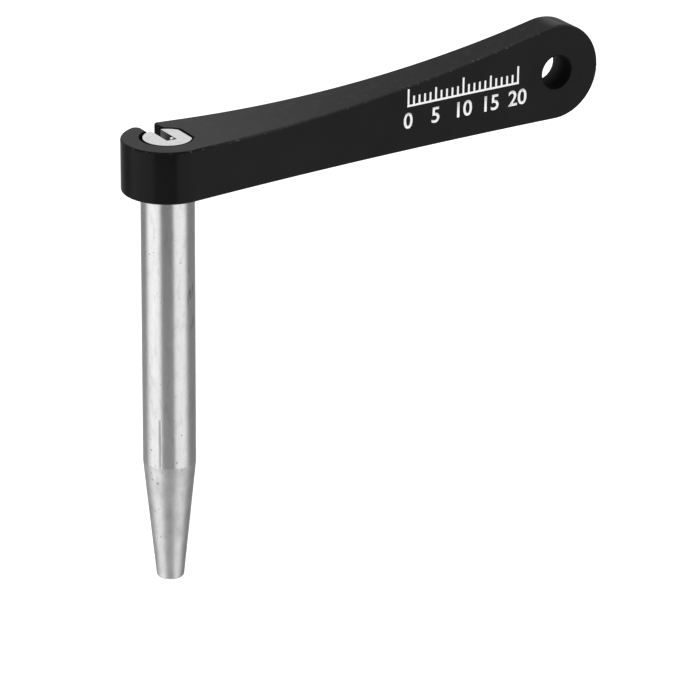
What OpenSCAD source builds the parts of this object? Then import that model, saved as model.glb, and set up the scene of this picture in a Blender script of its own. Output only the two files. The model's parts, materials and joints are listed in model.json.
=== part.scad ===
// Bladed spoke holder, a hand tool for building bicycle wheels.
// A slotted steel shaft stands square to a slim black handle. A flat spoke slides sideways
// through the mouth of the head into the slot, and the handle keeps it from twisting.
// Frame: the origin is on the shaft's axis at the handle's underside, +X runs along the
// handle to the hanging hole, +Y is the open side of the slot and +Z is up. Sizes are in mm.

/* [Handle] */
// Overall length of the handle
handle_l = 80.5; // [70:0.5:110]
// Diameter of the round head that holds the shaft
head_d = 13.7; // [12:0.1:18]
// Height of the head
head_h = 8; // [6:0.1:10]
// Distance from the shaft's axis at which the top face starts to rise
rise_start = 5.5; // [0:0.1:10]
// Diameter of the rounded far end, seen from the side
end_d = 15; // [12:0.1:20]
// Thickness of the far end, between the two side faces
end_t = 5; // [3:0.1:8]
// Diameter of the hanging hole
hole_d = 5.3; // [4:0.1:7]

/* [Spoke slot] */
// Width of the slot in the shaft
slot_w = 1.6; // [1:0.05:2.2]
// Depth of the slot past the shaft's axis
slot_floor = 1.35; // [1:0.05:1.6]
// Width of the mouth in the head
mouth_w = 2.6; // [2.2:0.1:3.6]
// Rounding of the hook's tip, beside the mouth
hook_r = 1; // [0.3:0.1:1.4]
// Rounding of the lip across the mouth from the hook's tip
lip_r = 0.5; // [0.2:0.1:1.2]

/* [Shaft] */
// Diameter of the straight shaft
shaft_d = 8; // [7.7:0.1:10]
// Length of the straight shaft below the handle
shaft_l = 43; // [30:0.1:70]
// Length of the taper
taper_l = 19.2; // [10:0.1:30]
// Diameter of the tip
tip_d = 4.2; // [3.8:0.1:6]
// Edge break around the tip
tip_break = 0.35; // [0.1:0.05:0.5]
// Diameter of the tang inside the head
tang_d = 7.2; // [6:0.1:7.4]
// Distance of the tang's flat from the shaft's axis
tang_flat = 2.95; // [2.4:0.05:3.4]
// Edge break around the tang's end
tang_break = 0.1; // [0.1:0.05:0.4]
// Gap around the tang, filled with retaining adhesive
socket_gap = 0.3; // [0.05:0.05:0.4]

/* [Hidden] */
// Overlap of cutters past the faces they cut
cut_past = 1;
// Depth to which the long arcs cut into the faces they touch, so that they meet in clean edges
bite = 0.01;
head_r = head_d / 2;
end_r = end_d / 2;
tip_x = handle_l - head_r;
hole_x = tip_x - end_r;
tip_z = -shaft_l - taper_l;
// Hollow side faces: arcs that touch the head's circle and run out parallel at the far end
side_touch_r = head_r - bite;
side_r = (tip_x * tip_x + end_t * end_t / 4 - side_touch_r * side_touch_r) / (2 * side_touch_r - end_t);
side_centre = [tip_x, side_r + end_t / 2];
// Hollow top face: an arc that leaves the head level and touches the far end's circle
top_touch_r = end_r - bite;
rise_run = hole_x - rise_start;
rise_foot = head_h - bite;
foot_over_hole = rise_foot - end_r;
top_r = (rise_run * rise_run + foot_over_hole * foot_over_hole - top_touch_r * top_touch_r)
    / (2 * (top_touch_r - foot_over_hole));
top_centre = [rise_start, rise_foot + top_r];
// Half the width between the points where the side arcs touch the head's circle
side_touch_y = head_r * side_centre[1] / norm(side_centre);
// Corner of the side outline before the top arc is cut, on the line between the arc's centre and
// that of the far end's circle, past the point where they touch
hole_centre = [hole_x, end_r];
top_corner = hole_centre + (top_centre - hole_centre) * (end_r + cut_past) / norm(top_centre - hole_centre);
// Centre of the rounding on the hook's tip, which touches the head's circle from inside
hook_x = mouth_w / 2 + hook_r;
hook_reach = head_r - hook_r + bite;
hook_centre = [-hook_x, sqrt(hook_reach * hook_reach - hook_x * hook_x)];
// Centre of the rounding on the lip, which touches the side arc from inside
lip_x = mouth_w / 2 + lip_r;
lip_reach = side_r + lip_r - bite;
lip_run = tip_x - lip_x;
lip_centre = [lip_x, side_centre[1] - sqrt(lip_reach * lip_reach - lip_run * lip_run)];
// Facets of the short arcs and of the long ones, which turn only a few degrees
$fn = 96;
long_arc_fn = 1440;

// Handle seen from above: the head's circle, drawn in along both sides to the thin far end
module handle_plan() {
    difference() {
        union() {
            circle(d = head_d);
            translate([0, -side_touch_y]) square([tip_x + cut_past, 2 * side_touch_y]);
        }
        for (side = [0, 1])
            mirror([0, side]) translate(side_centre) circle(r = side_r, $fn = long_arc_fn);
    }
}

// Handle seen from the front: flat underside, level head, rising top and round far end
module handle_side() {
    difference() {
        union() {
            translate(hole_centre) circle(d = end_d);
            polygon([
                [-head_r - cut_past, 0], [hole_x, 0], hole_centre, top_corner,
                [rise_start, top_corner[1]], [rise_start, head_h], [-head_r - cut_past, head_h]
            ]);
        }
        translate(top_centre) circle(r = top_r, $fn = long_arc_fn);
    }
}

// D-shaped section of the tang, or of its socket with the gap added all round
module tang_section(gap = 0) {
    intersection() {
        circle(d = tang_d + 2 * gap);
        translate([-tang_d, -tang_d]) square([tang_d + tang_flat + gap, 2 * tang_d]);
    }
}

// Corner that a rounding takes off between the mouth and an outer face; outward points from
// the rounding's centre to that face
module corner_cut(centre, outward, r) {
    difference() {
        polygon([
            [0, centre[1]], centre, centre + outward / norm(outward) * (r + cut_past),
            [0, head_r + cut_past]
        ]);
        translate(centre) circle(r = r);
    }
}

// Mouth from the socket out through the back of the head, with rounded edges
module mouth_plan() {
    translate([-mouth_w / 2, 0]) square([mouth_w, head_r + cut_past]);
    corner_cut(hook_centre, hook_centre, hook_r);
    corner_cut(lip_centre, side_centre - lip_centre, lip_r);
}

module handle() {
    color([0.13, 0.13, 0.135]) difference() {
        intersection() {
            translate([0, 0, -cut_past]) linear_extrude(height = end_d + 2 * cut_past) handle_plan();
            rotate([90, 0, 0]) linear_extrude(height = head_d + 2 * cut_past, center = true) handle_side();
        }
        translate([0, 0, -cut_past]) linear_extrude(height = head_h + 2 * cut_past) {
            tang_section(socket_gap);
            mouth_plan();
        }
        translate([hole_x, 0, end_r]) rotate([90, 0, 0])
            cylinder(d = hole_d, h = head_d + 2 * cut_past, center = true);
    }
}

// Turned outline of the shaft from the tip up to the shoulder under the handle
module shaft_profile() {
    polygon([
        [0, tip_z], [tip_d / 2 - tip_break, tip_z], [tip_d / 2, tip_z + tip_break],
        [shaft_d / 2, -shaft_l], [shaft_d / 2, 0], [0, 0]
    ]);
}

module slotted_shaft() {
    color([0.72, 0.72, 0.71]) difference() {
        union() {
            rotate_extrude() shaft_profile();
            intersection() {
                linear_extrude(height = head_h) tang_section();
                union() {
                    cylinder(d = tang_d, h = head_h - tang_break);
                    translate([0, 0, head_h - tang_break])
                        cylinder(d1 = tang_d, d2 = tang_d - 2 * tang_break, h = tang_break);
                }
            }
        }
        translate([-slot_w / 2, -slot_floor, tip_z - cut_past])
            cube([slot_w, slot_floor + shaft_d, head_h - tip_z + 2 * cut_past]);
    }
}

handle();
slotted_shaft();
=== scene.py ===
import bmesh
import bpy
import json
import math
from mathutils import Matrix, Quaternion, Vector


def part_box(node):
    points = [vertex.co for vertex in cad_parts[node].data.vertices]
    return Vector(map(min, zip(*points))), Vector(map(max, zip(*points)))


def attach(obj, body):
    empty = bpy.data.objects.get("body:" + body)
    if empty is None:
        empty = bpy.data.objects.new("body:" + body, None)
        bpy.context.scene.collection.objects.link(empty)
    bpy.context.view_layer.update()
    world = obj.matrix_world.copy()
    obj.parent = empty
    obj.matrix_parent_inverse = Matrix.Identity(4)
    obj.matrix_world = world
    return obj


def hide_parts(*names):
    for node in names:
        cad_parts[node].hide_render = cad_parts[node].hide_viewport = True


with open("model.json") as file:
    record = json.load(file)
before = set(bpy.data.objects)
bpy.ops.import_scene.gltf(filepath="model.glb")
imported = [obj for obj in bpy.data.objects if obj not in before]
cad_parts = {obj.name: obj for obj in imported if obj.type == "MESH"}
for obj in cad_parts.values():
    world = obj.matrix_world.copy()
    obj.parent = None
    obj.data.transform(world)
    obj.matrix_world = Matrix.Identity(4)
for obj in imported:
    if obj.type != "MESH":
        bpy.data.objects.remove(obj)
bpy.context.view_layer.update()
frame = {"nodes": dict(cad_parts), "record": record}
mm = 0.001
weld = 0.004 * mm                                   # points closer than this are one
mounts = {mount["name"]: mount for mount in frame["record"]["mounts"]}
handleLow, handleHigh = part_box("handle")
shaftLow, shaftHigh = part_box("slotted_shaft")
headH = shaftHigh.z                                 # the tang ends level with the head's top
shaftR = mounts["shaft"]["dims"]["r_mm"] * mm
kneeZ = -mounts["shaft"]["dims"]["length_mm"] * mm  # where the taper starts
holeAt = Vector(mounts["hang_hole"]["pos_m"])
holeR = mounts["hang_hole"]["dims"]["r_mm"] * mm
axisY = Vector((0, 1, 0))
axisZ = Vector((0, 0, 1))
print("frame loaded:", sorted(frame["nodes"]))


# Shader graphs
class Value:
    def __init__(self, graph, socket):
        self.graph = graph
        self.socket = socket

    def __add__(self, other):
        return self.graph.maths("ADD", self, other)

    def __sub__(self, other):
        return self.graph.maths("SUBTRACT", self, other)

    def __rsub__(self, other):
        return self.graph.maths("SUBTRACT", other, self)

    def __mul__(self, other):
        return self.graph.maths("MULTIPLY", self, other)

    def __truediv__(self, other):
        return self.graph.maths("DIVIDE", self, other)

    __radd__ = __add__
    __rmul__ = __mul__

    def size(self):
        return self.graph.maths("ABSOLUTE", self, 0)

    def ramp(self, start, end):                     # 0 at start, 1 at end, smooth between
        spread = {"From Min": start, "From Max": end, "Value": self}
        return self.graph.node("ShaderNodeMapRange", {"interpolation_type": "SMOOTHSTEP"}, spread)

    def band(self, middle, half, soft):             # 1 within half of the middle, with soft ends
        return (self - middle).size().ramp(half + soft, half - soft)


class Graph:
    def __init__(self, tree):
        self.tree = tree

    def node(self, kind, settings=None, sockets=None, output=0):
        made = self.tree.nodes.new(kind)
        for name, value in (settings or {}).items():
            setattr(made, name, value)
        for name, value in (sockets or {}).items():
            if isinstance(value, Value):
                self.tree.links.new(value.socket, made.inputs[name])
            else:
                made.inputs[name].default_value = value
        return Value(self, made.outputs[output]) if made.outputs else None

    def maths(self, operation, first, second):
        return self.node("ShaderNodeMath", {"operation": operation}, {0: first, 1: second})

    def sibling(self, value, output):               # another output of the same node
        return Value(self, value.socket.node.outputs[output])

    def place(self):
        return self.node("ShaderNodeTexCoord", output="Object")

    def parts(self, vector):
        split = self.node("ShaderNodeSeparateXYZ", sockets={0: vector})
        return [Value(self, socket) for socket in split.socket.node.outputs]

    def noise(self, vector, size, detail=2, stretch=(1, 1, 1)):
        moved = self.node("ShaderNodeMapping", sockets={"Vector": vector, "Scale": stretch})
        sockets = {"Vector": moved, "Scale": 1 / size, "Detail": detail}
        return self.node("ShaderNodeTexNoise", sockets=sockets)

    def swing(self, vector, size, detail=2, stretch=(1, 1, 1)):
        return self.noise(vector, size, detail, stretch) - 0.5      # noise about zero

    def spots(self, vector, size):
        cells = self.node(
            "ShaderNodeTexVoronoi", {"voronoi_dimensions": "2D"}, {"Vector": vector, "Scale": 1 / size})
        tint = self.sibling(cells, "Color")
        return cells, self.parts(tint)[0]           # distance from the spot, and its own random number

    def reach(self, vector, centre, half):          # 0 at the centre of an ellipsoid, 1 on its skin
        scale = [1 / size if size else 0 for size in half]
        shift = [-at * by for at, by in zip(centre, scale)]
        moved = self.node("ShaderNodeMapping", sockets={"Vector": vector, "Location": shift, "Scale": scale})
        return self.node("ShaderNodeVectorMath", {"operation": "LENGTH"}, {0: moved}, "Value")

    def grey(self, value):
        return self.node("ShaderNodeCombineColor", sockets={0: value, 1: value, 2: value})

    def bump(self, height, depth, normal=None):
        sockets = {"Height": height, "Distance": depth, "Strength": 1.0}
        if normal:
            sockets["Normal"] = normal
        return self.node("ShaderNodeBump", sockets=sockets)


def mix(first, second, share):                      # first where share is 0, second where it is 1
    return first + share * (second - first)


def newMaterial(name):
    material = bpy.data.materials.new(name)
    material.use_nodes = True
    material.node_tree.nodes.clear()
    return material, Graph(material.node_tree)


def finishMaterial(graph, sockets):
    shader = graph.node("ShaderNodeBsdfPrincipled", sockets=sockets)
    graph.node("ShaderNodeOutputMaterial", sockets={"Surface": shader})


# Black anodised finish of the handle
anodisedSet = {
    "base": 0.0048, "mottle": 0.006, "smudgeSize": 7 * mm,
    "roughness": 0.15, "roughnessSpread": 0.08, "mattRoughness": 0.9, "specular": 0.079,
    "grainSize": 0.10 * mm, "grainDepth": 0.0008 * mm,
    "wearSize": 0.5 * mm, "wearFrom": 0.57, "wearTo": 0.74, "wearTone": 0.07,
    "wearField": 4 * mm, "fieldFrom": 0.30, "fieldTo": 0.50,
    "scuffSize": 1.3 * mm, "scuffFrom": 0.48, "scuffTo": 0.75, "scuffTone": 0.016,
    "boreTone": 0.004, "boreBackLightTone": 0.036, "boreNear": -1 * mm, "boreFar": 2.4 * mm,
    "boreFrom": 1.06, "boreTo": 1.02,               # in radii of the hole
    "edgeHighlightTone": 0.042, "edgeFrom": -2 * mm, "edgeTo": 12 * mm, "facingFrom": -0.1, "facingTo": 1.0,
    "gapShadeTone": 0.002, "seatReach": 4.5 * mm, "seatSoft": 0.01, "seatFrom": -2.6 * mm, "seatTo": -1.6 * mm,
}


def makeAnodised():
    s = anodisedSet
    material, g = newMaterial("blackAnodised")
    place = g.place()
    x, y = g.parts(place)[:2]
    edge = g.node("ShaderNodeAttribute", {"attribute_name": "edgeBreak"}, output="Fac")
    upward = g.node("ShaderNodeAttribute", {"attribute_name": "upperFace"}, output="Fac")
    paintedGapShade = g.reach(place, (0, 0, 0), (s["seatReach"], s["seatReach"], 0)).ramp(1, 1 - s["seatSoft"])
    paintedGapShade = paintedGapShade * edge * y.ramp(s["seatFrom"], s["seatTo"])         # painted shade on the socket's edge, but for its front
    bore = g.reach(place, holeAt, (holeR, 0, holeR)).ramp(s["boreFrom"], s["boreTo"])
    grain = g.noise(place, s["grainSize"], detail=3)
    smudge = g.noise(place, s["smudgeSize"], detail=3)
    rubbed = g.noise(place, s["wearSize"], detail=4).ramp(s["wearFrom"], s["wearTo"]) * edge
    rubbed = rubbed * g.noise(place, s["wearField"], detail=1).ramp(s["fieldFrom"], s["fieldTo"])
    scuff = g.noise(place, s["scuffSize"], detail=5).ramp(s["scuffFrom"], s["scuffTo"]) * upward
    tone = smudge * s["mottle"] + s["base"] + rubbed * s["wearTone"] + scuff * s["scuffTone"]
    normal = g.node("ShaderNodeNewGeometry", output="Normal")
    facing = g.parts(normal)[2].ramp(s["facingFrom"], s["facingTo"])
    paintedEdgeHighlight = edge * facing * x.ramp(s["edgeFrom"], s["edgeTo"])
    tone = tone + paintedEdgeHighlight * s["edgeHighlightTone"]          # painted highlight on the long edges, lighter where they face up
    # painted light: the hole's wall grows lighter towards its back opening
    boreTone = s["boreTone"] + y.ramp(s["boreNear"], s["boreFar"]) * s["boreBackLightTone"]
    tone = mix(mix(tone, boreTone, bore), s["gapShadeTone"], paintedGapShade)
    roughness = smudge * s["roughnessSpread"] + (s["roughness"] - s["roughnessSpread"] / 2)
    finishMaterial(g, {
        "Base Color": g.grey(tone), "Roughness": mix(roughness, s["mattRoughness"], bore + paintedGapShade),
        "Specular IOR Level": s["specular"], "Normal": g.bump(grain, s["grainDepth"]),
    })
    return material


# Ground steel of the shaft, which needs the shaft's own sizes
shaftSet = {
    "taperEnd": 2.1 * mm, "tipRounding": 0.45 * mm, "tipSteps": 6, "shoulderBreak": 0.15 * mm,
    "tangRadius": 3.6 * mm, "tangFlat": 2.95 * mm, "tangBreak": 0.03 * mm,
    "slotWidth": 1.6 * mm, "slotFloor": 1.35 * mm,
    "kneeGuard": 0.15 * mm, "past": 1 * mm, "turnSteps": 160, "sharpAngle": math.radians(25),
}
steelSet = {
    "tone": 0.70, "roughness": 0.25, "taperTone": 0.66, "taperRoughness": 0.40,
    "endTone": 0.96, "endRoughness": 0.20, "endFrom": 0.04 * mm, "endTo": 0.02 * mm,
    "slotTone": 0.80, "slotRoughness": 0.06, "slotGuard": 0.03 * mm,
    "wallShadeTone": 0.02, "mouthShadeTone": 0.35, "wallRoughness": 0.3, "wallFrom": 0.4 * mm, "wallTo": 2.2 * mm,
    "glintY": 0.15 * mm, "glintHalfY": 0.80 * mm, "glintRise": 0.31 * mm, "glintHalfRise": 0.17 * mm,
    "glintSlope": 0.447, "glintSoft": 0.06 * mm,    # the painted highlight patch falls towards the back
    "streakSize": 0.45 * mm, "streakStretch": 0.05, "streak": 0.12,
    "cloudSize": 1.6 * mm, "cloudStretch": 0.6, "cloud": 0.14,
    "taperCloudSize": 2.4 * mm, "taperCloud": 0.55,
    "grainSize": 0.35 * mm, "grain": 0.14, "endGrain": 0.34,
    "wobbleSize": 2.0 * mm, "wobbleStretch": 0.35, "wobbleDepth": 0.018 * mm,
    "kneeSize": 1.2 * mm, "kneeWave": 0.5 * mm, "kneeSoft": 0.05 * mm,
    "pitWarpSize": 0.25 * mm, "pitWarp": 0.5 * mm,
    "pitSize": 1.0 * mm, "pitShare": 0.24, "pitShareSoft": 0.01,
    "pitRadius": 0.14, "pitLeast": 0.5, "pitCore": 0.3, "pitTone": 0.5, "pitRoughness": 0.2,
    "pitDepth": 0.02 * mm, "pitField": 5 * mm, "pitFieldFrom": 0.42, "pitFieldTo": 0.60,
    "stainAt": Vector((1.9, -3.52, -16.7)) * mm, "stainHalf": Vector((1.2, 1.2, 9)) * mm,
    "stain": 0.5, "stainCore": 0.3,
    "smearSize": 0.8 * mm, "smearStretch": 0.3, "smearFrom": 0.5, "smearTo": 0.7, "smear": 0.10,
    "dentTurn": math.radians(-139), "dentFacing": 1 * mm, "dentTop": -35.1 * mm, "dentEnd": -42.5 * mm,
    "dentLeft": -0.34 * mm, "dentFloor": 0.15 * mm, "dentRight": 0.24 * mm,
    "dentDepth": 0.035 * mm, "dentShadeTone": 0.06, "dentFade": 0.15 * mm, "dentRunOut": 0.9 * mm,
    "capWidth": 0.4 * mm, "capHeight": 0.09 * mm, "capTone": 0.3,
}


def makeSteel():
    s = steelSet
    material, g = newMaterial("groundSteel")
    place = g.place()
    x, y, z = g.parts(place)
    turn = g.maths("ARCTAN2", x, 0 - y)
    skin = g.node("ShaderNodeCombineXYZ", sockets={0: turn * shaftR, 1: z})     # the round wall, unrolled
    wave = g.swing(place, s["kneeSize"]) * s["kneeWave"]
    taper = (z + wave).ramp(kneeZ + s["kneeSoft"], kneeZ - s["kneeSoft"])
    endFace = z.ramp(headH - s["endFrom"], headH - s["endTo"])
    slotSide = shaftSet["slotWidth"] / 2 + s["slotGuard"]
    slotFloor = -shaftSet["slotFloor"] - s["slotGuard"]
    slot = x.size().ramp(slotSide + s["slotGuard"], slotSide) * y.ramp(slotFloor - s["slotGuard"], slotFloor)

    # Uneven tones of the ground surface
    streak = g.swing(skin, s["streakSize"], 3, (1, s["streakStretch"], 1))
    cloud = g.swing(place, s["cloudSize"], 3, (1, 1, s["cloudStretch"]))
    taperCloud = g.swing(place, s["taperCloudSize"], 4)
    grain = g.swing(place, s["grainSize"])
    smear = g.noise(place, s["smearSize"], 4, (1, 1, s["smearStretch"])).ramp(s["smearFrom"], s["smearTo"])
    stained = g.reach(place, s["stainAt"], s["stainHalf"]).ramp(1, s["stainCore"])
    dirt = smear * mix(s["smear"], s["stain"], stained)

    # Ragged pits, in some fields only
    warp = g.sibling(g.noise(place, s["pitWarpSize"]), "Color")
    warp = g.node("ShaderNodeVectorMath", {"operation": "SCALE"}, {0: warp, "Scale": s["pitWarp"]})
    ragged = g.node("ShaderNodeVectorMath", {"operation": "ADD"}, {0: skin, 1: warp})
    spot, chance = g.spots(ragged, s["pitSize"])
    field = g.noise(place, s["pitField"], 1).ramp(s["pitFieldFrom"], s["pitFieldTo"])
    radius = (s["pitLeast"] + chance / s["pitShare"]) * s["pitRadius"]
    chosen = chance.ramp(s["pitShare"] + s["pitShareSoft"], s["pitShare"])
    pit = spot.ramp(radius, radius * s["pitCore"]) * chosen * field

    # Dent along the shaft, with a long slope on one side and painted shade inside, and the mark at its top
    across = y * math.cos(s["dentTurn"]) - x * math.sin(s["dentTurn"])
    facing = (x * math.cos(s["dentTurn"]) + y * math.sin(s["dentTurn"])).ramp(0, s["dentFacing"])
    along = z.ramp(s["dentTop"], s["dentTop"] - s["dentFade"])
    along = along * z.ramp(s["dentEnd"] - s["dentRunOut"], s["dentEnd"])
    slopes = across.ramp(s["dentLeft"], s["dentFloor"]) * across.ramp(s["dentRight"], s["dentFloor"])
    dent = slopes * along * facing
    cap = across.size().ramp(s["capWidth"], s["capWidth"] / 2)
    cap = cap * (z - s["dentTop"]).size().ramp(s["capHeight"], 0) * facing

    # Painted shade on the slot's right wall inside the head, lighter towards the mouth, with a painted
    # highlight patch on it
    rise = z - headH + (y + shaftSet["slotFloor"]) * s["glintSlope"]
    paintedGlint = y.band(s["glintY"], s["glintHalfY"], s["glintSoft"])
    paintedGlint = paintedGlint * rise.band(s["glintRise"], s["glintHalfRise"], s["glintSoft"])
    wall = x.ramp(0, s["slotGuard"]) * z.ramp(0, headH / 2) * (1 - paintedGlint)
    wallShadeTone = mix(s["wallShadeTone"], s["mouthShadeTone"], y.ramp(s["wallFrom"], s["wallTo"]))

    tone = mix(mix(s["tone"], s["taperTone"], taper), s["endTone"], endFace)
    tone = mix(tone, mix(s["slotTone"], wallShadeTone, wall), slot)
    uneven = streak * s["streak"] + cloud * s["cloud"] + taper * taperCloud * s["taperCloud"]
    uneven = uneven + grain * mix(s["grain"], s["endGrain"], endFace)
    tone = tone * (1 + uneven) * (1 - dirt) * (1 - pit * s["pitTone"])
    tone = tone * (1 - dent * s["dentShadeTone"]) * (1 - cap * s["capTone"])
    rough = mix(s["roughness"], s["taperRoughness"], taper)
    rough = rough + endFace * (s["endRoughness"] - s["roughness"]) + pit * s["pitRoughness"]
    rough = mix(rough, mix(s["slotRoughness"], s["wallRoughness"], wall), slot)
    wobble = g.bump(g.noise(place, s["wobbleSize"], 2, (1, 1, s["wobbleStretch"])), s["wobbleDepth"])
    pitted = g.bump(1 - pit, s["pitDepth"], wobble)
    finishMaterial(g, {
        "Base Color": g.grey(tone), "Metallic": 1.0, "Roughness": rough,
        "Normal": g.bump(1 - dent, s["dentDepth"], pitted),
    })
    return material


# White ink of the scale
inkSet = {"tone": 0.98, "roughness": 0.5, "fleckSize": 0.12 * mm, "fleck": 0.05}


def makeInk():
    s = inkSet
    material, g = newMaterial("whiteInk")
    fleck = g.noise(g.place(), s["fleckSize"])
    finishMaterial(g, {"Base Color": g.grey(s["tone"] - fleck * s["fleck"]), "Roughness": s["roughness"]})
    return material


blackAnodised = makeAnodised()
groundSteel = makeSteel()
whiteInk = makeInk()
print("materials made")


# Modelling helpers
breakSet = {"segments": 4, "upwardLeast": 0.5}


def lineTo(bm, vert, point):
    end = bmesh.ops.extrude_vert_indiv(bm, verts=[vert])["verts"][0]
    end.co = point
    return end


def arcTo(bm, vert, centre, axis, angle, steps):
    spun = bmesh.ops.spin(bm, geom=[vert], cent=centre, axis=axis, angle=angle, steps=steps)
    return [item for item in spun["geom_last"] if isinstance(item, bmesh.types.BMVert)][0]


def closePrism(bm, span):
    bmesh.ops.remove_doubles(bm, verts=bm.verts[:], dist=weld)
    bmesh.ops.edgeloop_fill(bm, edges=bm.edges[:])
    raised = bmesh.ops.extrude_face_region(bm, geom=bm.faces[:])["geom"]
    bmesh.ops.translate(bm, verts=[v for v in raised if isinstance(v, bmesh.types.BMVert)], vec=span)
    bmesh.ops.recalc_face_normals(bm, faces=bm.faces[:])


def makeObject(name, bm):
    mesh = bpy.data.meshes.new(name)
    bm.to_mesh(mesh)
    bm.free()
    made = bpy.data.objects.new(name, mesh)
    bpy.context.scene.collection.objects.link(made)
    return made


def boxObject(name, low, high):
    bm = bmesh.new()
    bmesh.ops.create_cube(bm, size=1)
    bmesh.ops.scale(bm, verts=bm.verts[:], vec=high - low)
    bmesh.ops.translate(bm, verts=bm.verts[:], vec=(low + high) / 2)
    return makeObject(name, bm)


def carve(piece, cutter, operation):
    tool = piece.modifiers.new("carve", "BOOLEAN")
    tool.operation = operation
    tool.solver = "EXACT"
    tool.object = cutter
    bpy.context.view_layer.update()
    carved = piece.evaluated_get(bpy.context.evaluated_depsgraph_get())
    piece.data = bpy.data.meshes.new_from_object(carved)
    piece.modifiers.clear()
    bpy.data.objects.remove(cutter)


def breakEdges(piece, leastAngle, widthOf):         # widthOf gives an edge its break, or 0 for a sharp one
    bm = bmesh.new()
    bm.from_mesh(piece.data)
    bmesh.ops.remove_doubles(bm, verts=bm.verts[:], dist=weld)
    bmesh.ops.dissolve_degenerate(bm, edges=bm.edges[:], dist=weld)
    bm.faces.layers.float.new("edgeBreak")
    bm.faces.layers.float.new("upperFace")
    mark = bm.faces.layers.float["edgeBreak"]       # looked up once both layers exist
    upper = bm.faces.layers.float["upperFace"]
    widths = {edge: widthOf(edge) for edge in bm.edges if edge.calc_face_angle(0) > leastAngle}
    for edge in widths:
        edge.smooth = False
    for width in sorted(set(widths.values()) - {0}):
        chosen = [edge for edge in widths if edge.is_valid and widths[edge] == width]
        broken = bmesh.ops.bevel(
            bm, geom=chosen, offset=width, offset_type="OFFSET", affect="EDGES",
            segments=breakSet["segments"], profile=0.5, material=-1, clamp_overlap=False)
        for face in broken["faces"]:
            face[mark] = 1.0
            for edge in face.edges:
                edge.smooth = True
    for face in bm.faces:
        face.smooth = True
        face[upper] = 1.0 if face.normal.z > breakSet["upwardLeast"] else 0.0
    bm.to_mesh(piece.data)
    bm.free()
    piece.modifiers.new("evenShading", "WEIGHTED_NORMAL").keep_sharp = True


def finishPiece(piece, material, node=None):
    piece.data.materials.clear()
    piece.data.materials.append(material)
    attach(piece, "root")
    if node:
        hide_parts(node)
    print(piece.name, "has", len(piece.data.polygons), "faces")


# Handle
handleSet = {
    "riseStart": 5.5 * mm, "endThickness": 5 * mm,
    "mouthWidth": 2.6 * mm, "hookRounding": 1 * mm, "lipRounding": 0.5 * mm,
    "socketRadius": 3.8 * mm, "socketFlat": 3.17 * mm, "socketShift": 0.12 * mm, "socketReach": 4.5 * mm,
    "edgeBreak": 0.32 * mm, "fineBreak": 0.06 * mm, "holeReach": 3 * mm, "breakAngle": math.radians(20),
    "past": 1 * mm, "longSteps": 72, "headSteps": 120, "endSteps": 72, "roundSteps": 10, "holeSteps": 96,
}
headR = -handleLow.x
tipX = handleHigh.x
endR = handleHigh.z / 2
endHalf = handleSet["endThickness"] / 2
sideR = (tipX ** 2 + endHalf ** 2 - headR ** 2) / (2 * (headR - endHalf))      # radius of the hollow sides
sideY = sideR + endHalf


def halfWidth(x):                                   # half the handle's width where its sides are hollow
    return sideY - math.sqrt(sideR ** 2 - (tipX - x) ** 2)


def planObject():
    s = handleSet
    low = Vector((0, 0, -s["past"]))
    wall = s["mouthWidth"] / 2
    hookX = wall + s["hookRounding"]
    hook = low + Vector((-hookX, math.sqrt((headR - s["hookRounding"]) ** 2 - hookX ** 2), 0))
    lipX = wall + s["lipRounding"]
    lip = low + Vector((lipX, sideY - math.sqrt((sideR + s["lipRounding"]) ** 2 - (tipX - lipX) ** 2), 0))
    frontArc = low + Vector((tipX, -sideY, 0))
    backArc = low + Vector((tipX, sideY, 0))
    hookTurn = math.atan2(hook.y, hook.x)
    frontTurn = math.atan2(-sideY, tipX)
    lipTurn = math.atan2(lip.y - sideY, lip.x - tipX)
    socket = low + axisY * s["socketShift"]         # the tang sits a little forward in its socket
    mouthTurn = math.acos(wall / s["socketRadius"])
    flatTurn = math.acos(s["socketFlat"] / s["socketRadius"])
    flatY = s["socketRadius"] * math.sin(flatTurn)
    bm = bmesh.new()
    start = bmesh.ops.create_vert(bm, co=low + Vector((-wall, hook.y, 0)))["vert"][0]
    at = arcTo(bm, start, hook, axisZ, hookTurn, s["roundSteps"])
    at = arcTo(bm, at, low, axisZ, 2 * math.pi + frontTurn - hookTurn, s["headSteps"])
    at = arcTo(bm, at, frontArc, axisZ, -frontTurn - math.pi / 2, s["longSteps"])
    at = lineTo(bm, at, low + Vector((tipX + s["past"], -endHalf, 0)))
    at = lineTo(bm, at, low + Vector((tipX + s["past"], endHalf, 0)))
    at = lineTo(bm, at, low + Vector((tipX, endHalf, 0)))
    at = arcTo(bm, at, backArc, axisZ, lipTurn + math.pi / 2, s["longSteps"])
    at = arcTo(bm, at, lip, axisZ, -lipTurn, s["roundSteps"])
    at = lineTo(bm, at, socket + Vector((wall, s["socketRadius"] * math.sin(mouthTurn), 0)))
    at = arcTo(bm, at, socket, axisZ, flatTurn - mouthTurn, s["roundSteps"])
    at = lineTo(bm, at, socket + Vector((s["socketFlat"], -flatY, 0)))
    at = arcTo(bm, at, socket, axisZ, flatTurn - math.pi - mouthTurn, s["headSteps"] // 2)
    lineTo(bm, at, start.co)
    closePrism(bm, axisZ * (2 * endR + 2 * s["past"]))
    return makeObject("machinedHandle", bm)


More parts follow.
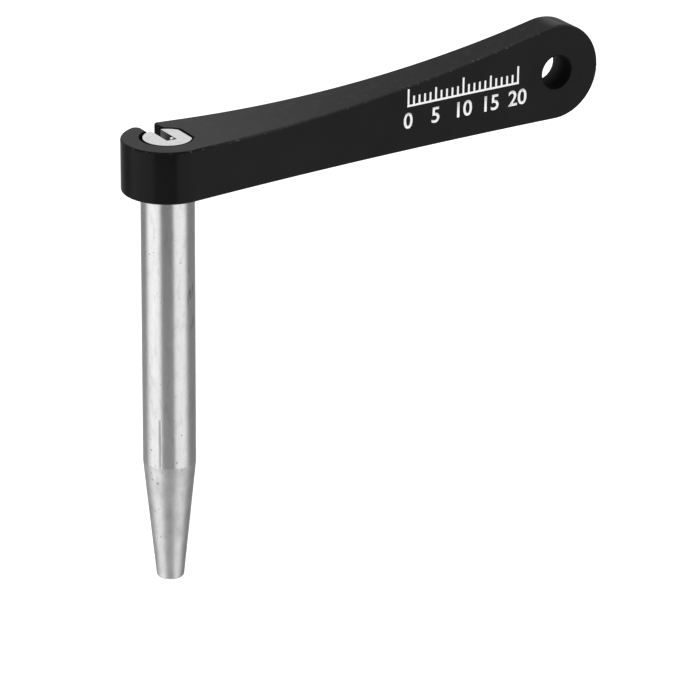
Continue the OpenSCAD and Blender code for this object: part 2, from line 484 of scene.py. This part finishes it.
def sideObject():
    s = handleSet
    low = Vector((0, -headR - s["past"], 0))
    run = holeAt.x - s["riseStart"]
    topR = (run ** 2 + (headH - endR) ** 2 - endR ** 2) / (2 * (2 * endR - headH))
    endCentre = low + Vector((holeAt.x, 0, endR))
    topCentre = low + Vector((s["riseStart"], 0, headH + topR))
    touchTurn = math.atan2(topCentre.z - endR, -run)
    backX = -headR - s["past"]
    bm = bmesh.new()
    start = bmesh.ops.create_vert(bm, co=low + Vector((backX, 0, 0)))["vert"][0]
    at = lineTo(bm, start, low + Vector((holeAt.x, 0, 0)))
    at = arcTo(bm, at, endCentre, -axisY, touchTurn + math.pi / 2, s["endSteps"])
    at = arcTo(bm, at, topCentre, -axisY, math.pi / 2 - touchTurn, s["longSteps"])
    at = lineTo(bm, at, low + Vector((backX, 0, headH)))
    lineTo(bm, at, start.co)
    closePrism(bm, axisY * (2 * headR + 2 * s["past"]))
    return makeObject("sideOutline", bm)


def holeObject():
    turn = Matrix.Translation(holeAt) @ Matrix.Rotation(math.pi / 2, 4, "X")
    drillLength = 4 * headR                         # well past both side faces
    bm = bmesh.new()
    bmesh.ops.create_cone(
        bm, cap_ends=True, segments=handleSet["holeSteps"], radius1=holeR, radius2=holeR,
        depth=drillLength, matrix=turn)
    return makeObject("holeDrill", bm)


def handleBreak(edge):
    s = handleSet
    points = [vert.co for vert in edge.verts]
    if all((point - holeAt).xz.length < s["holeReach"] for point in points):
        return s["fineBreak"]
    nearSocket = all(point.xy.length < s["socketReach"] for point in points)
    if nearSocket and min(point.z for point in points) < headH / 2:
        return 0                                    # the socket's lower edge and corners
    return s["edgeBreak"]


def makeHandle():
    handle = planObject()
    carve(handle, sideObject(), "INTERSECT")
    carve(handle, holeObject(), "DIFFERENCE")
    breakEdges(handle, handleSet["breakAngle"], handleBreak)
    finishPiece(handle, blackAnodised, "handle")


makeHandle()


# Slotted shaft
def makeShaft():
    s = shaftSet
    tipZ = shaftLow.z
    slope = (shaftR - s["taperEnd"]) / (kneeZ - tipZ)
    tipCentre = Vector((s["taperEnd"] - s["tipRounding"], 0, tipZ + s["tipRounding"]))
    bm = bmesh.new()
    at = bmesh.ops.create_vert(bm, co=(0, 0, tipZ))["vert"][0]
    at = lineTo(bm, at, Vector((tipCentre.x, 0, tipZ)))
    at = arcTo(bm, at, tipCentre, -axisY, math.pi / 2, s["tipSteps"])
    at = lineTo(bm, at, Vector((shaftR - slope * s["kneeGuard"], 0, kneeZ - s["kneeGuard"])))
    at = lineTo(bm, at, Vector((shaftR, 0, kneeZ)))
    at = lineTo(bm, at, Vector((shaftR, 0, kneeZ + s["kneeGuard"])))
    at = lineTo(bm, at, Vector((shaftR, 0, -s["shoulderBreak"])))
    at = lineTo(bm, at, Vector((shaftR - s["shoulderBreak"], 0, 0)))
    at = lineTo(bm, at, Vector((s["tangRadius"], 0, 0)))
    at = lineTo(bm, at, Vector((s["tangRadius"], 0, headH - s["tangBreak"])))
    at = lineTo(bm, at, Vector((s["tangRadius"] - s["tangBreak"], 0, headH)))
    lineTo(bm, at, Vector((0, 0, headH)))
    bmesh.ops.spin(
        bm, geom=bm.verts[:] + bm.edges[:], cent=(0, 0, 0), axis=axisZ, angle=2 * math.pi,
        steps=s["turnSteps"], use_merge=True)
    bmesh.ops.remove_doubles(bm, verts=bm.verts[:], dist=weld)
    bmesh.ops.recalc_face_normals(bm, faces=bm.faces[:])
    onAxis = [v for v in bm.verts if v.co.xy.length < weld]
    bmesh.ops.dissolve_verts(bm, verts=onAxis)      # plain end faces
    shaft = makeObject("groundShaft", bm)
    reach = shaftR + s["past"]
    flatLow = Vector((s["tangFlat"], -reach, 0))
    carve(shaft, boxObject("flatCut", flatLow, Vector((reach, reach, headH + s["past"]))), "DIFFERENCE")
    slotLow = Vector((-s["slotWidth"] / 2, -s["slotFloor"], tipZ - s["past"]))
    slotHigh = Vector((s["slotWidth"] / 2, reach, headH + s["past"]))
    carve(shaft, boxObject("slotCut", slotLow, slotHigh), "DIFFERENCE")
    breakEdges(shaft, s["sharpAngle"], lambda edge: 0)
    finishPiece(shaft, groundSteel, "slotted_shaft")


makeShaft()


# White millimetre scale printed on the front of the handle
scaleSet = {
    "zeroX": 39 * mm, "baseZ": 7.2 * mm, "length": 20, "thickness": 0.015 * mm, "sunk": 0.01 * mm,
    "lineWidth": 0.32 * mm, "lineOver": 0.03 * mm,  # the line's corners stay off those of the ticks
    "tick": 1.3 * mm, "fiveTick": 1.9 * mm, "tenTick": 2.5 * mm,
    "numberHeight": 2.4 * mm, "numberGap": 0.9 * mm, "numberEvery": 5, "numberBold": 0.05 * mm,
    "digitShare": 0.7, "curveSteps": 6,             # the font's numbers are 0.7 of its size high
}


def inkBar(bm, lowX, highX, lowZ, highZ):
    steps = max(1, round((highX - lowX) / mm))
    made = bmesh.ops.create_grid(bm, x_segments=steps, y_segments=1, size=0.5)["verts"]
    bmesh.ops.rotate(bm, verts=made, cent=(0, 0, 0), matrix=Matrix.Rotation(math.pi / 2, 3, "X"))
    bmesh.ops.scale(bm, verts=made, vec=(highX - lowX, 1, highZ - lowZ))
    bmesh.ops.translate(bm, verts=made, vec=((lowX + highX) / 2, 0, (lowZ + highZ) / 2))


def inkNumber(bm, number, x, topZ):
    s = scaleSet
    curve = bpy.data.curves.new("number", "FONT")
    curve.body = str(number)
    curve.align_x = "CENTER"
    curve.size = s["numberHeight"] / s["digitShare"]
    curve.offset = s["numberBold"]
    curve.resolution_u = s["curveSteps"]
    writing = bpy.data.objects.new("number", curve)
    bpy.context.scene.collection.objects.link(writing)
    bpy.context.view_layer.update()
    mesh = bpy.data.meshes.new_from_object(writing.evaluated_get(bpy.context.evaluated_depsgraph_get()))
    upright = Matrix.Rotation(math.pi / 2, 4, "X")
    mesh.transform(Matrix.Translation((x, 0, topZ - s["numberHeight"])) @ upright)
    bm.from_mesh(mesh)
    bpy.data.objects.remove(writing)
    bpy.data.meshes.remove(mesh)


def tickHeight(count):
    if count % 10 == 0:
        return scaleSet["tenTick"]
    if count % 5 == 0:
        return scaleSet["fiveTick"]
    return scaleSet["tick"]


def makeScale():
    s = scaleSet
    half = s["lineWidth"] / 2
    lineEnd = half + s["lineOver"]
    lineLow = s["baseZ"] - s["lineWidth"]
    bm = bmesh.new()
    inkBar(bm, s["zeroX"] - lineEnd, s["zeroX"] + s["length"] * mm + lineEnd, lineLow, s["baseZ"])
    for count in range(s["length"] + 1):
        x = s["zeroX"] + count * mm
        inkBar(bm, x - half, x + half, s["baseZ"], s["baseZ"] + tickHeight(count))
        if count % s["numberEvery"] == 0:
            inkNumber(bm, count, x, lineLow - s["numberGap"])
    bmesh.ops.remove_doubles(bm, verts=bm.verts[:], dist=weld)
    for vert in bm.verts:
        vert.co.y = s["sunk"] - halfWidth(vert.co.x)
    raised = bmesh.ops.extrude_face_region(bm, geom=bm.faces[:])["geom"]
    outer = [v for v in raised if isinstance(v, bmesh.types.BMVert)]
    bmesh.ops.translate(bm, verts=outer, vec=-axisY * (s["sunk"] + s["thickness"]))
    bmesh.ops.recalc_face_normals(bm, faces=bm.faces[:])
    finishPiece(makeObject("whiteScale", bm), whiteInk)


makeScale()


# Floor, light and camera
floorSet = {"half": 3.0, "tone": 0.92, "roughness": 0.9, "glow": 0.9}
lightSet = {                                        # heights run from -1 to 1
    "camTurn": math.radians(-121.5),                # the camera's side; other turns are degrees from it
    "left": 1.33, "leftFrom": -96, "leftTo": -30.8, "leftSoft": 18, "leftFade": 9,
    "right": 1.24, "rightFrom": 26.3, "rightTo": 84, "rightSoft": 5, "rightFade": 13,
    "leftLoss": 0.12, "rightLoss": 0.19, "lossFrom": -0.345, "lossTo": -0.415,          # strips dim low down
    "leftLowTurn": 5, "rightLowTurn": -4, "lowTurnFrom": -0.43, "lowTurnTo": -0.52,     # and draw apart
    "base": 0.095, "midBase": 0.37, "midFrom": -0.350, "midTo": -0.364,
    "lowBase": 0.43, "lowFrom": -0.39, "lowTo": -0.415,
    "behind": 0.36, "behindFrom": -100, "behindTo": -150,
    "rightEdge": 0.27, "edgeFrom": 85, "edgeTo": 115,
    "backdrop": 1.25, "backFrom": 156, "backTo": 168, "backTop": -0.15, "backLow": -0.25,
    "upper": 0.77, "upperBack": 0.585, "upperFrom": 0.355, "upperTo": 0.425,
    "front": 0.5, "frontTurn": 70, "sideTurn": 95, "highFrom": 0.05, "highTo": 0.28,
    "overhead": 0.40, "overheadFrom": 0.66, "overheadTo": 0.84,
}
cameraSet = {
    "place": Vector((-271.15, -494.32, 210.64)) * mm, "aim": Vector((27.80, -5.88, -29.06)) * mm,
    "roll": math.radians(0.617), "lens": 212.39, "sensor": 36, "near": 0.01, "far": 20,
}


def makeFloor():
    s = floorSet
    material, g = newMaterial("paleFloor")
    finishMaterial(g, {
        "Base Color": (s["tone"],) * 3 + (1,), "Roughness": s["roughness"], "Specular IOR Level": 0.0,
        "Emission Color": (1, 1, 1, 1), "Emission Strength": s["glow"],
    })
    bm = bmesh.new()
    bmesh.ops.create_grid(bm, x_segments=1, y_segments=1, size=s["half"])
    bmesh.ops.translate(bm, verts=bm.verts[:], vec=(0, 0, shaftLow.z))
    floor = makeObject("paleFloor", bm)
    floor.data.materials.append(material)
    floor.visible_glossy = False
    floor.visible_shadow = False


def makeLight():
    s = lightSet
    world = bpy.data.worlds.new("studio")
    bpy.context.scene.world = world
    world.use_nodes = True
    world.node_tree.nodes.clear()
    g = Graph(world.node_tree)
    way = g.node("ShaderNodeTexCoord", output="Generated")
    turned = g.node(
        "ShaderNodeVectorRotate", {"rotation_type": "Z_AXIS"}, {"Vector": way, "Angle": -s["camTurn"]})
    x, y, z = g.parts(turned)
    turn = g.maths("ARCTAN2", y, x) * math.degrees(1)

    # Two upright strips, left and right of the camera
    lowTurn = z.ramp(s["lowTurnFrom"], s["lowTurnTo"])
    leftTurn = turn + lowTurn * s["leftLowTurn"]
    rightTurn = turn + lowTurn * s["rightLowTurn"]
    left = leftTurn.ramp(s["leftFrom"] - s["leftSoft"], s["leftFrom"] + s["leftSoft"])
    left = left * leftTurn.ramp(s["leftTo"] + s["leftFade"], s["leftTo"] - s["leftFade"])
    right = rightTurn.ramp(s["rightFrom"] - s["rightSoft"], s["rightFrom"] + s["rightSoft"])
    right = right * rightTurn.ramp(s["rightTo"] + s["rightFade"], s["rightTo"] - s["rightFade"])
    loss = z.ramp(s["lossFrom"], s["lossTo"])
    leftGlow = (1 - loss * s["leftLoss"]) * s["left"]
    rightGlow = (1 - loss * s["rightLoss"]) * s["right"]

    # The room between and behind them
    base = mix(s["base"], s["midBase"], z.ramp(s["midFrom"], s["midTo"]))
    base = base + z.ramp(s["lowFrom"], s["lowTo"]) * (s["lowBase"] - s["midBase"])
    base = mix(base, s["behind"], turn.ramp(s["behindFrom"], s["behindTo"]))
    base = mix(base, s["rightEdge"], turn.ramp(s["edgeFrom"], s["edgeTo"]))
    back = turn.size().ramp(s["backFrom"], s["backTo"]) * z.ramp(s["backTop"], s["backLow"])
    base = mix(base, s["backdrop"], back)
    low = base + left * (leftGlow - base) + right * (rightGlow - base)

    # The ceiling
    high = mix(s["upper"], s["upperBack"], z.ramp(s["upperFrom"], s["upperTo"]))
    high = mix(high, s["front"], turn.size().ramp(s["sideTurn"], s["frontTurn"]))
    high = mix(high, s["overhead"], z.ramp(s["overheadFrom"], s["overheadTo"]))
    light = mix(low, high, z.ramp(s["highFrom"], s["highTo"]))
    seen = g.node("ShaderNodeLightPath", output="Is Camera Ray")
    glow = g.node("ShaderNodeBackground", sockets={"Color": g.grey(light)})
    white = g.node("ShaderNodeBackground", sockets={"Color": (1, 1, 1, 1)})
    mixed = g.node("ShaderNodeMixShader", sockets={0: seen, 1: glow, 2: white})
    g.node("ShaderNodeOutputWorld", sockets={"Surface": mixed})


def makeCamera():
    s = cameraSet
    data = bpy.data.cameras.new("camera")
    data.lens = s["lens"]
    data.sensor_width = s["sensor"]
    data.clip_start = s["near"]
    data.clip_end = s["far"]
    camera = bpy.data.objects.new("camera", data)
    camera.location = s["place"]
    camera.rotation_mode = "QUATERNION"
    look = (s["aim"] - s["place"]).to_track_quat("-Z", "Y")
    camera.rotation_quaternion = look @ Quaternion(axisZ, s["roll"])
    bpy.context.scene.collection.objects.link(camera)
    bpy.context.scene.camera = camera


makeFloor()
makeLight()
makeCamera()
bpy.context.scene.view_settings.view_transform = "Standard"
print("floor, light and camera made")
